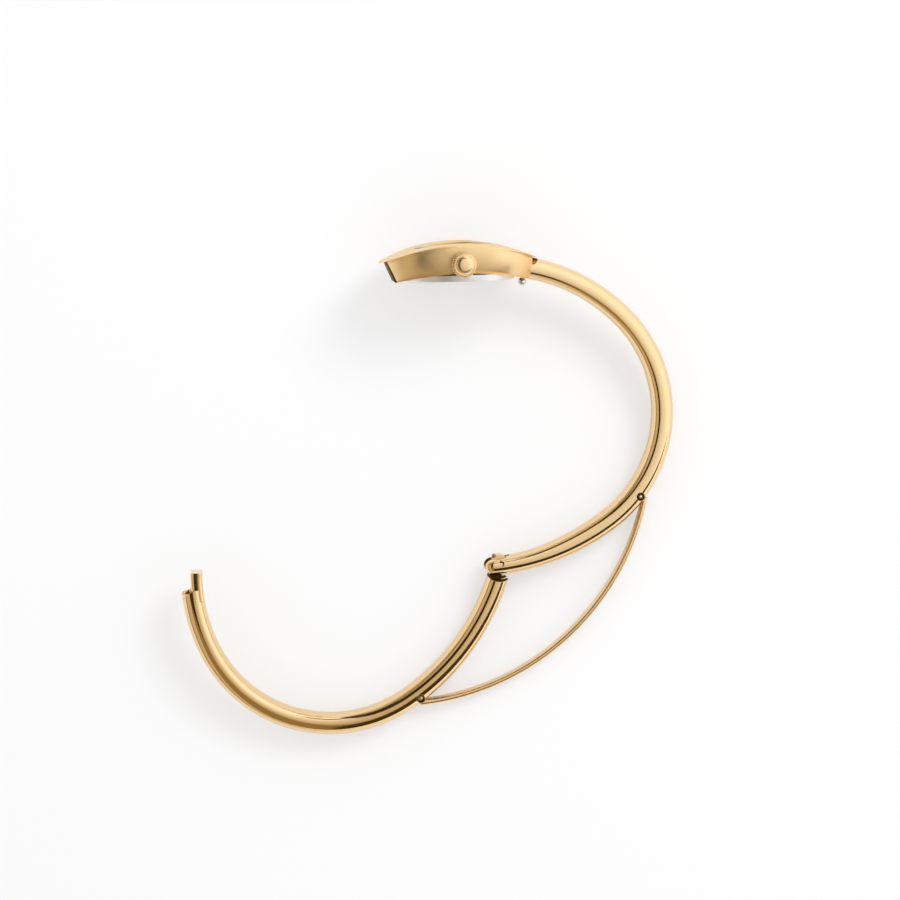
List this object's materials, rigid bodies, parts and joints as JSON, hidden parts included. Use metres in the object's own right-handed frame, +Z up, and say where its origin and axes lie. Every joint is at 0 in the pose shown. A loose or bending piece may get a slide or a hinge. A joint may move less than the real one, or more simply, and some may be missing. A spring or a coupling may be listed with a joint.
{
  "type": "bangle wristwatch",
  "caption": "Gold bangle watch lying open on its side: arched head on a fixed half bangle, hinged swing half, and a thin over-centre bow joining both halves.",
  "frame": {"origin": "middle of the footprint, on the table plane", "axes": "+Z up from the table; the watch head is at the +Y side and the fixed half at +X; the crown points up"},
  "size_m": [0.0832, 0.0848, 0.0227],
  "materials": {
    "polished_gold": "polished yellow gold, mirror bright",
    "case_steel": "bright polished steel",
    "knob_steel": "polished steel",
    "spring_steel": "drawn steel",
    "watch_glass": "clear domed glass",
    "dial_paint": "satin ivory dial",
    "seal_rubber": "black rubber",
    "movement_brass": "grained brass",
    "movement_steel": "plated steel",
    "holder_plastic": "moulded white plastic",
    "board_laminate": "green laminate",
    "coil_copper": "enamelled copper wire",
    "battery_steel": "nickel plated can"
  },
  "bodies": {
    "watch": {"fixed_half": "polished_gold", "bow_pin_fixed": "polished_gold", "lug_bar": "spring_steel", "lug_spring": "spring_steel", "case_middle": "polished_gold", "bezel": "polished_gold", "crystal": "watch_glass", "crystal_gasket": "seal_rubber", "caseback": "case_steel", "caseback_gasket": "seal_rubber", "dial": "dial_paint", "dial_ring": "dial_paint", "hour_markers": "polished_gold", "crown_tube": "spring_steel", "main_plate": "movement_brass", "movement_holder": "holder_plastic", "train_bridge": "movement_steel", "bridge_screws": "movement_steel", "stator": "movement_steel", "coil": "coil_copper", "circuit_board": "board_laminate", "quartz_can": "movement_steel", "battery": "battery_steel", "battery_clamp": "movement_steel"},
    "swing": {"swing_half": "polished_gold", "bow_pin_swing": "polished_gold", "hinge_bar": "spring_steel", "hinge_spring": "spring_steel"},
    "bow_link": {"bow": "polished_gold"},
    "hinge_knob": {"hinge_release": "knob_steel"},
    "lug_knob": {"lug_release": "knob_steel"},
    "setting": {"setting_lever": "spring_steel"},
    "crown_stem": {"crown": "polished_gold", "crown_gasket": "seal_rubber", "stem": "spring_steel"},
    "minute_train": {"center_wheel": "movement_brass", "minute_hand": "polished_gold"},
    "hour_train": {"hour_wheel": "movement_brass", "hour_hand": "polished_gold"},
    "motion_wheel": {"minute_wheel": "movement_brass"},
    "third_wheel": {"intermediate_wheel": "movement_brass"},
    "motor_rotor": {"rotor": "movement_steel"}
  },
  "joints": [
    {"name": "bangle_hinge", "type": "hinge", "parent": "watch", "child": "swing", "pos_m": [0.01208, -0.01299, 0.00375], "axis": [-0.0892, 0.1146, -0.9894], "range_deg": [0, 70]},
    {"name": "bow_pivot", "type": "hinge", "parent": "watch", "child": "bow_link", "pos_m": [0.03583, -0.00173, 0.00292], "axis": [-0.0892, 0.1146, -0.9894], "range_deg": [-0.5, 35.8]},
    {"name": "hinge_release_slide", "type": "slide", "parent": "swing", "child": "hinge_knob", "axis": [-0.0892, 0.1146, -0.9894], "range_m": [0, 0.0008], "stiffness_N_per_m": 400, "springref_m": -0.0004},
    {"name": "lug_release_slide", "type": "slide", "parent": "watch", "child": "lug_knob", "axis": [-0.0892, 0.1146, -0.9894], "range_m": [0, 0.0008], "stiffness_N_per_m": 400, "springref_m": -0.0004},
    {"name": "crown_pull", "type": "slide", "parent": "watch", "child": "setting", "axis": [0.0892, -0.1146, 0.9894], "range_m": [0, 0.001]},
    {"name": "crown_turn", "type": "hinge", "parent": "setting", "child": "crown_stem", "pos_m": [0.00594, 0.03632, 0.01982], "axis": [0.0892, -0.1146, 0.9894], "continuous": true},
    {"name": "minute_turn", "type": "hinge", "parent": "watch", "child": "minute_train", "pos_m": [0.00515, 0.0347, 0.0099], "axis": [-0.0296, 0.9926, 0.1176], "continuous": true},
    {"name": "hour_turn", "type": "hinge", "parent": "watch", "child": "hour_train", "pos_m": [0.00515, 0.0347, 0.0099], "axis": [-0.0296, 0.9926, 0.1176], "continuous": true},
    {"name": "motion_wheel_turn", "type": "hinge", "parent": "watch", "child": "motion_wheel", "pos_m": [0.006, 0.03494, 0.0081], "axis": [-0.0296, 0.9926, 0.1176], "continuous": true},
    {"name": "third_wheel_turn", "type": "hinge", "parent": "watch", "child": "third_wheel", "pos_m": [0.00217, 0.03445, 0.01128], "axis": [-0.0296, 0.9926, 0.1176], "continuous": true},
    {"name": "rotor_turn", "type": "hinge", "parent": "watch", "child": "motor_rotor", "pos_m": [0.00218, 0.03404, 0.01476], "axis": [-0.0296, 0.9926, 0.1176], "continuous": true}
  ],
  "couplings": [
    {"joint": "bow_pivot", "follows": "bangle_hinge", "ratio": 0.50428},
    {"joint": "hour_turn", "follows": "minute_turn", "ratio": 0.083333},
    {"joint": "motion_wheel_turn", "follows": "minute_turn", "ratio": -0.33333},
    {"joint": "third_wheel_turn", "follows": "minute_turn", "ratio": -10},
    {"joint": "rotor_turn", "follows": "minute_turn", "ratio": 90}
  ]
}
